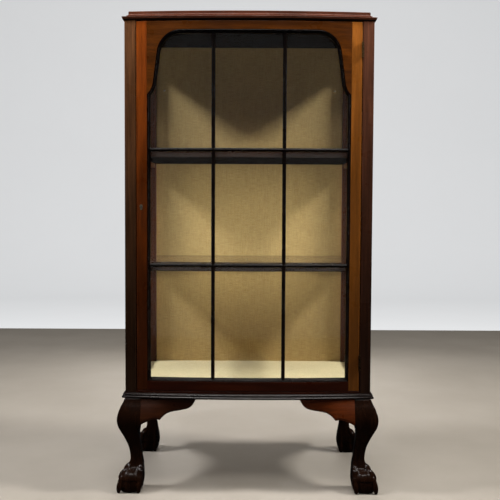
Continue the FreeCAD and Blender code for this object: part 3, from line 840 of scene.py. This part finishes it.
def outline(inset):
    """Right half of the door's opening, moved in by inset, from the bottom to the top of the middle."""
    x = OPEN_HALF - inset
    low = OPEN_BOTTOM + inset
    top = OPEN_TOP - inset
    shoulder_r = SHOULDER_R - inset
    flare_r = FLARE_R + inset
    cusp = acos((FLARE_X - x) / flare_r)
    points = [(x * k / (BOTTOM_POINTS - 1), low) for k in range(BOTTOM_POINTS)]
    points += arc((FLARE_X, FLARE_Z), flare_r, 180 + degrees(cusp), 180 + degrees(LEAN), 8)
    points += arc((SHOULDER_X, top - shoulder_r), shoulder_r, degrees(LEAN), 90, 14)
    points += [(SHOULDER_X * (1 - k / 10), top) for k in range(1, 11)]
    return points


def whole_outline(inset):
    """The opening's outline all the way round."""
    half = outline(inset)
    return half + [(-x, z) for x, z in reversed(half[1:-1])]


def opening_ring(section):
    """Moulding round the door's opening, from a section of (inset, depth)."""
    loops = [[(x, bow_y(x, depth), z) for x, z in whole_outline(inset)] for inset, depth in section]
    return tube(list(zip(*loops)), closed=True)


moulding = [(0.0, 1.2)] + arc((1.7, 1.9), 1.6, 190, 350, 8)
moulding += [(3.4, 3.0), (3.6, 3.5), (4.4, 4.6), (5.5, 5.3), (6.8, 5.7), (7.6, 6.2), (BEAD, 7.0)]
moulding += [(BEAD, GLASS_FRONT), (0.0, GLASS_FRONT)]
inside_bead = [(0.0, GLASS_FRONT + GLASS), (6.0, GLASS_FRONT + GLASS), (5.8, 15.2), (4.6, 17.4),
               (2.4, 19.0), (0.4, 19.6), (0.0, 19.7)]

lock_front = bow_y(DOOR_HALF, DOOR_THICK) - LOCK_DEEP
lock_cut = brick(-DOOR_HALF - 1.0, -DOOR_HALF + LOCK_WIDE, lock_front, lock_front + 2 * LOCK_DEEP,
                 LOCK_Z - LOCK_HIGH / 2, LOCK_Z + LOCK_HIGH / 2)


def keyhole_cut():
    """Round head and straight slot, through the stile to the lock."""
    loop = [(1.5 * sin(radians(a)), 1.5 + 1.5 * cos(radians(a))) for a in range(-140, 141, 20)]
    loop += [(0.8, -4.0), (-0.8, -4.0)]
    return tube([[(-LOCK_X + x, y, LOCK_Z + z) for x, z in loop] for y in (FRONT - 30, lock_front + 1)])


stile = board(upright, (OPEN_HALF, DOOR_HALF), (0.0, DOOR_THICK), (DOOR_BOTTOM, DOOR_TOP), 0.8, nu=3)
left_stile = cut(flipped(stile, 0), lock_cut, keyhole_cut())
right_stile = cut(stile, *leaf_boxes(DOOR_HALF - LEAF_THICK, DOOR_HALF + 0.5))
piece("stile_left", left_stile, "door", "stile_left_wood", ["door_stile_left"])
piece("stile_right", right_stile, "door", "stile_right_wood", ["door_stile_right"])


def top_rail_shape():
    """Rail with the arch cut out of its lower edge and a spandrel at either end."""
    half = outline(0.0)[BOTTOM_POINTS:]
    columns = half + [(-x, z) for x, z in reversed(half[:-1])]
    rings = []
    for x, z in columns:
        section = rounded((z, DOOR_TOP), (0.0, DOOR_THICK), 0.6, 4, 1)
        rings.append([along_front(a, b, x) for a, b in section])
    return tube(rings)


piece("top_rail", top_rail_shape(), "door", "rail_wood", ["door_top_rail"])
bottom_rail = board(along_front, (DOOR_BOTTOM, OPEN_BOTTOM), (0.0, DOOR_THICK), (-OPEN_HALF, OPEN_HALF),
                    0.6, nw=40)
piece("bottom_rail", bottom_rail, "door", "low_rail_wood", ["door_bottom_rail"])
piece("arch_moulding", opening_ring(moulding), "door", "ebony", ["door_moulding"], 50)
piece("glazing_bead", opening_ring(inside_bead), "door", "stop_wood", ["door_glazing_beads"])


def bar_section():
    """(across, depth) of a glazing bar: a round between two fillets, and a rib between the panes."""
    wide = BAR_WIDE / 2
    rib = BAR_RIB / 2
    half = [(wide, 6.6), (wide, GLASS_FRONT), (rib, GLASS_FRONT), (rib, DOOR_THICK - 0.1)]
    nose = [(3.8 * cos(radians(a)), 5.4 - 3.4 * sin(radians(a))) for a in range(0, 181, 15)]
    right = [(3.9, 5.8), (4.3, 6.0)] + half
    return [(-u, d) for u, d in reversed(right)] + nose[::-1] + right


section = bar_section()
for name, x in (("left", -BAR_X), ("right", BAR_X)):
    zs = (OPEN_BOTTOM + BAR_SHORT, OPEN_TOP - BAR_SHORT)
    rings = [[(x + u, bow_y(x) + d, z) for u, d in section] for z in zs]
    piece("bar_" + name, tube(rings), "door", "ebony", ["glazing_bar_" + name])
for name, z in zip(("lower", "upper"), BAR_ZS):
    reach = OPEN_HALF - BAR_SHORT
    rings = []
    for x in spaced((-reach, -BAR_X, BAR_X, reach), 12.0):
        rings.append([(x, bow_y(x, min(d, DOOR_THICK - 0.4)), z + u) for u, d in section])
    piece("bar_" + name, tube(rings), "door", "ebony_level", ["glazing_bar_" + name])


def opening_height(x, inset):
    """z of the top of the opening at x, moved in by inset."""
    xs, zs = zip(*reversed(outline(inset)[BOTTOM_POINTS:]))
    return float(np.interp(abs(x), xs, zs))


def door_pane(x0, x1, z0, z1):
    """One pane, following the arch where it meets it."""
    arch = [x for x, z in outline(PANE_PLAY)[BOTTOM_POINTS:] if x > 0]
    marks = sorted({x0, x1} | {x for x in arch + [-a for a in arch] if x0 < x < x1})
    rings = []
    for x in spaced(marks, 12.0):
        high = min(z1, opening_height(x, PANE_PLAY)) if z1 > OPEN_TOP else z1
        section = rounded((z0, high), (GLASS_FRONT, GLASS_FRONT + GLASS), 0.2, 1, 1)
        rings.append([along_front(a, b, x) for a, b in section])
    return tube(rings)


edge = BAR_RIB / 2 + PANE_PLAY
reach = OPEN_HALF - PANE_PLAY
spans = ((-reach, -BAR_X - edge), (-BAR_X + edge, BAR_X - edge), (BAR_X + edge, reach))
rows = (("bottom", OPEN_BOTTOM + PANE_PLAY, BAR_ZS[0] - edge),
        ("middle", BAR_ZS[0] + edge, BAR_ZS[1] - edge),
        ("top", BAR_ZS[1] + edge, OPEN_TOP + 1.0))
for row, z0, z1 in rows:
    panes = join(*[door_pane(x0, x1, z0, z1) for x0, x1 in spans])
    piece("door_glass_" + row, panes, "door", "clear_glass", ["door_panes_" + row], SHARP_GLASS)


# -------- legs
# Distances beyond the side of the case, by height, of a leg's outer and inner faces.
SHANK_OUTER = ((44, 6.0), (52, -2.0), (60, -7.0), (70, -9.6), (78, -10.2), (93, -8.8), (109, -5.2),
               (127, 1.5), (144, 9.2), (160, 15.5), (174, 17.6), (188, 16.0), (204, 10.5), (216, 4.6),
               (LEG_HEIGHT, 0.8))
SHANK_INNER = ((44, -41.0), (60, -40.6), (80, -39.0), (97, -37.5), (119, -35.3), (138, -33.8), (152, -34.7),
               (162, -37.6), (172, -39.0), (LEG_HEIGHT, -39.0))
FOOT_OUTER = ((0, 13.0), (3, 17.4), (8, 18.8), (13, 19.1), (19, 18.3), (27, 15.8), (33, 14.2), (38, 11.0),
              (44, 8.6), (50, 5.4), (56, -2.2), (64, -7.4), (78, -10.4), (100, -8.4))
FOOT_INNER = ((0, -35.0), (3, -37.8), (8, -39.4), (13, -40.4), (20, -41.8), (30, -42.5), (46, -42.0),
              (63, -40.9), (80, -39.0), (100, -37.0))
FOOT_REACH = 19.1
LEG_FORWARD = 8.0        # legs stand this much further out at front and back than at the sides
# Radius of a talon, and how far it sinks into the shank, by height; then the ball's radius.
TALON_R = ((0, 4.0), (4, 4.9), (10, 5.6), (14, 6.8), (19, 7.2), (24, 6.4), (30, 6.2), (36, 7.4), (41, 7.0),
           (47, 6.7), (52, 6.8), (58, 5.6), (66, 4.8), (78, 4.2), (100, 3.0))
TALON_SINK = ((0, 0.0), (64, 0.0), (80, 0.8), (100, 3.2))
BALL = ((0, 22.0), (2, 24.8), (6, 27.2), (12, 28.7), (20, 29.0), (28, 28.3), (34, 27.0), (40, 24.2),
        (46, 19.6), (51, 12.0), (54, 3.0))
BALL_CENTRE = (-11.7, -11.7)


def at(table, t):
    """Smooth value between the pairs of a table."""
    ts = [p[0] for p in table]
    vs = [p[1] for p in table]
    i = int(np.clip(np.searchsorted(ts, t) - 1, 0, len(ts) - 2))
    slopes = []
    for k in (i, i + 1):
        a, b = max(k - 1, 0), min(k + 1, len(ts) - 1)
        slopes.append((vs[b] - vs[a]) / (ts[b] - ts[a]))
    h = ts[i + 1] - ts[i]
    s = min(max((t - ts[i]) / h, 0.0), 1.0)
    return ((2 * s ** 3 - 3 * s ** 2 + 1) * vs[i] + (s ** 3 - 2 * s ** 2 + s) * h * slopes[0]
            + (3 * s ** 2 - 2 * s ** 3) * vs[i + 1] + (s ** 3 - s ** 2) * h * slopes[1])


def corner_square(low, high, z, radii):
    """Square section from low to high on both axes; radii by corner: inner, side, outer, front."""
    points = []
    corners = ((low, low, 180), (high, low, 270), (high, high, 0), (low, high, 90))
    for (a, b, turn), r in zip(corners, radii):
        centre = (a + r if a == low else a - r, b + r if b == low else b - r)
        points += [(*p, z) for p in arc(centre, r, turn, turn + 90, 6)]
    return points


def shank():
    """The cabriole shank, with a firm arris down its outer corner."""
    rings = []
    for z in np.linspace(LEG_HEIGHT, 44.0, 92):
        outer = at(SHANK_OUTER, z)
        inner = at(SHANK_INNER, z)
        soft = min(max((200.0 - z) / 60.0, 0.0), 1.0)
        arris = 2.0 + 7.5 * soft
        side = 0.5 + 10.7 * min(max((176.0 - z) / 40.0, 0.0), 1.0)
        rings.append(corner_square(inner, outer, z, (side, side, arris, side)))
    return tube(rings)


def turns(count):
    """Angles evenly round a circle."""
    return [2 * pi * k / count for k in range(count)]


def limb(path):
    """Round limb through (a, b, z, radius), with rounded ends."""
    centres = [Vector(p[:3]) for p in path]
    rings = []
    last = len(path) - 1
    for i, centre in enumerate(centres):
        along = (centres[min(i + 1, last)] - centres[max(i - 1, 0)]).normalized()
        across = along.cross(Vector((1.0, -1.0, 0.0))).normalized()
        other = along.cross(across)
        r = path[i][3]
        start = [(-0.8 * r, 0.45 * r)] if i == 0 else []
        end = [(0.8 * r, 0.45 * r)] if i == last else []
        for shift, size in start + [(0.0, r)] + end:
            mid = centre + along * shift
            rings.append([tuple(mid + across * size * cos(t) + other * size * sin(t)) for t in turns(14)])
    return tube(rings)


def talon(out_a, out_b):
    """One toe down a corner of the foot, knuckled, ending in a nail."""
    path = []
    for z in np.arange(100.0, 3.5, -2.0):
        r = at(TALON_R, z)
        inside = r + at(TALON_SINK, z)
        a = at(FOOT_OUTER, z) - inside if out_a else at(FOOT_INNER, z) + inside
        b = at(FOOT_OUTER, z) - inside if out_b else at(FOOT_INNER, z) + inside
        path.append((a, b, float(z), r))
    return limb(path)


def turned(low, high, grow):
    """Part of the ball between two heights, a little larger all round."""
    rings = []
    for z in np.linspace(low, high, 22):
        r = at(BALL, z - grow) + grow
        rings.append([(BALL_CENTRE[0] + r * cos(t), BALL_CENTRE[1] + r * sin(t), z) for t in turns(44)])
    return tube(rings)


def web():
    """Skin of the foot, spreading from the ankle down to an edge that grips the ball."""
    rings = []
    for z in np.linspace(94.0, 34.0, 22):
        outer = at(FOOT_OUTER, z) - 2.6
        inner = at(FOOT_INNER, z) + 2.0
        soft = min(6.0 + (94.0 - z) * 0.18, 15.0)
        rings.append(corner_square(inner, outer, z, (soft,) * 4))
    return join(tube(rings), turned(30.5, 53.0, 1.7))


def leg_mesh():
    """Shank, web, ball and four talons carved as one, for the front right corner, in (a, b, z)."""
    talons = [talon(a, b) for a in (True, False) for b in (True, False)]
    together = join(shank(), web(), turned(0.0, 53.0, 0.0), *talons)
    rough = added("leg_work", solid_mesh("leg_work", together, MERGE_WORK))
    remesh = rough.modifiers.new("remesh", "REMESH")
    remesh.mode = "VOXEL"
    remesh.voxel_size = 1.3 * MM
    smooth = rough.modifiers.new("smooth", "SMOOTH")
    smooth.factor = 0.5
    smooth.iterations = 4
    return worked(rough)


def leg_shape(carved, end, side):
    """The carved leg at one corner, kept within its reach and height."""
    across = 1 if side == "right" else -1
    along = 1 if end == "front" else -1
    points = []
    for a, b, z in carved[0]:
        x = HALF + min(a, FOOT_REACH)
        y = FRONT - LEG_FORWARD - min(b, FOOT_REACH)
        points.append((across * x, along * y, min(max(z, 0.0), LEG_HEIGHT)))
    return points, carved[1]


carved_leg = leg_mesh()
for side in ("right", "left"):
    for end in ("front", "back"):
        name = "leg_%s_%s" % (end, side)
        shape = leg_shape(carved_leg, end, side)
        piece("carved_" + name, shape, "case", "leg_wood", [name], 60)


# -------- knee brackets
BRACKET_START = 253.5
BRACKET_LONG = 130.0
BRACKET_SIDE = 100.0
BRACKET_DEEP = 20.0
# Height of the lower edge by distance from the leg: a hump as far as the cusp, then a rise.
CUSP = (45.5, 176.5)
BRACKET_EDGE = ((0, 165.0), (10, 170.6), (22, 176.0), (34, 178.4), (44, 176.8), CUSP)
BRACKET_RISE = (CUSP, (50, 181.6), (56, 187.2), (64, 191.8), (72, 194.4), (82, 196.0), (96, 198.0),
                (109, 201.0), (116, 204.6), (121, 209.0), (125, 214.6), (128, 220.0), (130, 224.8))


def bracket_shape(place, long, bulge):
    """Ogee bracket growing out of the knee: place takes (u, how far proud, z)."""
    k = long / BRACKET_LONG
    stations = [-1.5, *np.linspace(-0.2, CUSP[0], 15), *np.linspace(CUSP[0] + 0.5, BRACKET_LONG, 34)]
    rows = 14
    rings = []
    for u in stations:
        low = at(BRACKET_EDGE if u <= CUSP[0] else BRACKET_RISE, u)
        fade = 0.5 * (1 + cos(pi * min(u / 118.0, 1.0)))
        ring = []
        for j in range(rows + 1):
            t = j / rows
            z = low + (LEG_HEIGHT - low) * t
            near_edge = max(1.0 - (z - low) / 5.0, 0.0)
            proud = bulge(z) * fade - 2.6 * near_edge ** 2 - max(-0.2 - u, 0.0)
            ring.append(place(u * k, proud, z))
        for inside, z in ((BRACKET_DEEP, LEG_HEIGHT), (BRACKET_DEEP, low + 1.5), (BRACKET_DEEP - 2.0, low)):
            ring.append(place(u * k, -inside, z))
        rings.append(ring)
    return tube(rings)


def front_place(u, proud, z):
    x = BRACKET_START - u
    return (x, bow_y(x, 0.5) - proud, z)


def side_place(u, proud, z):
    return (HALF - 1.0 + proud, FRONT - LEG_FORWARD + 39.0 + u, z)


def front_knee(z):
    """How far the leg stands proud of the case's front, which the bracket meets."""
    return bow_y(BRACKET_START, 0.5) - (FRONT - LEG_FORWARD - at(SHANK_OUTER, z)) - 0.1


def side_knee(z):
    return at(SHANK_OUTER, z) + 0.9


front_bracket = bracket_shape(front_place, BRACKET_LONG, front_knee)
side_bracket = bracket_shape(side_place, BRACKET_SIDE, side_knee)
# The right front bracket is painted lit, and the other brackets are painted shaded.
piece("knee_bracket_front_right", front_bracket, "case", "bracket_painted_light",
      ["bracket_front_right"], 45)
piece("knee_bracket_front_left", flipped(front_bracket, 0), "case", "bracket_painted_shade",
      ["bracket_front_left"], 45)
for end, shape in (("front", side_bracket), ("back", flipped(side_bracket, 1))):
    for side, left in (("right", False), ("left", True)):
        name = "bracket_side_%s_%s" % (end, side)
        piece("knee_" + name, on_side(shape, left), "case", "bracket_painted_shade", [name], 45)


# -------- metalwork carried over from the CAD
METALS = {
    "brass_metal": ("hinge_case_leaves", "hinge_pins", "hinge_door_leaves", "lock_case", "lock_strike"),
    "steel_metal": ("hinge_case_screws", "hinge_door_screws", "lock_bolt"),
    "worn_metal": ("keyhole_escutcheon", "lining_hooks"),
}
for metal, nodes in METALS.items():
    for node in nodes:
        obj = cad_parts[node]
        obj.data.materials.clear()
        obj.data.materials.append(materials[metal])


# -------- room, lights and camera, in metres
FLOOR_HALF = 2.45
ROOM_HALF = 5.2
ROOM_HIGH = 5.0
SWEEP = 1.2              # radius of the curve from the level surround up into the wall


def room_ring(half, z):
    """Square outline with rounded corners."""
    return [(*p, z) for p in rounded((-half, half), (-half, half), 0.6, 8, 8)]


def room_object(name, shape, material):
    """Part of the room, which isn't part of the cabinet."""
    mesh = bpy.data.meshes.new(name)
    mesh.from_pydata(shape[0], [], shape[1])
    mesh.shade_smooth()
    mesh.materials.append(materials[material])
    obj = added(name, mesh)
    return obj


def backdrop_shape():
    """Pale surround: level from the floor's edge, then sweeping up into the wall."""
    section = [(FLOOR_HALF, 0.0)] + arc((ROOM_HALF - SWEEP, SWEEP), SWEEP, -90, 0, 8)
    points, faces = tube([room_ring(half, z) for half, z in section + [(ROOM_HALF, ROOM_HIGH)]])
    return points, faces[:-2]


plain("floor_paint", (117, 111, 102), (125, 119, 110), 0.6, 3.0)
plain("wall_paint", (150, 151, 152), (154, 155, 156), 0.8, 2.0)
wall_tree = materials["wall_paint"].node_tree
settle(wall_tree, wall_tree.nodes["Principled BSDF"], {"Emission Color": (0.97, 0.985, 1.0, 1.0),
                                                       "Emission Strength": 0.55})
floor_points = room_ring(FLOOR_HALF, 0.0)
ground = room_object("studio_floor", (floor_points, [tuple(range(len(floor_points)))]), "floor_paint")
wall = room_object("studio_wall", backdrop_shape(), "wall_paint")
# The floor lights the cabinet but doesn't show in its polish. The wall is only seen.
ground.visible_glossy = False
wall.visible_shadow = False
wall.visible_diffuse = False
wall.visible_glossy = False


def lamp(name, place, target, size, power, colour, spread_degrees=180, mirrored=True):
    """Rectangular lamp facing a target; only a mirrored one shows in the polish and the glass."""
    light = bpy.data.lights.new(name, "AREA")
    light.shape = "RECTANGLE"
    light.size, light.size_y = size
    light.energy = power
    light.color = colour
    light.spread = radians(spread_degrees)
    obj = added(name, light)
    obj.location = place
    obj.rotation_mode = "QUATERNION"
    obj.rotation_quaternion = (Vector(target) - Vector(place)).to_track_quat("-Z", "Y")
    obj.visible_camera = False
    obj.visible_glossy = mirrored


NEUTRAL = (1.0, 0.98, 0.96)
lamp("key", (0.0, -1.6, 2.6), (0.0, -0.3, 0.5), (2.0, 0.6), 46.0, (1.0, 0.97, 0.93))
lamp("side_left", (-2.3, -0.4, 2.6), (0.0, 0.0, 0.6), (0.5, 0.5), 146.0, (0.98, 0.98, 1.0))
lamp("side_right", (2.3, -0.4, 2.6), (0.0, 0.0, 0.6), (0.5, 0.5), 154.0, (1.0, 0.98, 0.95))
for name, x in (("low_left", -2.3), ("low_right", 2.3)):
    lamp(name, (x, -0.26, 0.6), (0.0, 0.1, 0.6), (0.3, 0.12), 0.8, (1.0, 0.97, 0.92), 14, False)
lamp("behind", (0.0, 2.3, 0.9), (0.0, 0.0, 0.0), (1.8, 0.6), 18.0, NEUTRAL, 70, False)
lamp("floor", (0.0, -0.8, 2.3), (0.0, -0.8, 0.0), (2.2, 0.5), 6.0, NEUTRAL, 60, False)

world = bpy.data.worlds.new("world")
bpy.context.scene.world = world
world.use_nodes = True
# The world lights the cabinet more strongly than it shows in the polish.
sky = world.node_tree
polish = new_node(sky, "LightPath", {}).outputs["Is Glossy Ray"]
settle(sky, sky.nodes["Background"], {"Color": (0.9, 0.95, 1.0, 1.0),
                                      "Strength": spread(polish, 0.0, 1.0, 0.035, 0.015)})
bpy.context.scene.view_settings.view_transform = "Standard"

CAMERA_PLACE = (0.00691, -2.09151, 0.67659)
CAMERA_YAW = 0.00165     # radians
CAMERA_DOWN = 0.05039
CAMERA_ROLL = 0.004634
camera_data = bpy.data.cameras.new("camera")
camera_data.sensor_width = 36.0
camera_data.lens = 58.487
camera = added("camera", camera_data)
yaw = Matrix.Rotation(CAMERA_YAW, 4, "Z")
pitch = Matrix.Rotation(pi / 2 - CAMERA_DOWN, 4, "X")
roll = Matrix.Rotation(CAMERA_ROLL, 4, "Z")
camera.matrix_world = Matrix.Translation(CAMERA_PLACE) @ yaw @ pitch @ roll
bpy.context.scene.camera = camera
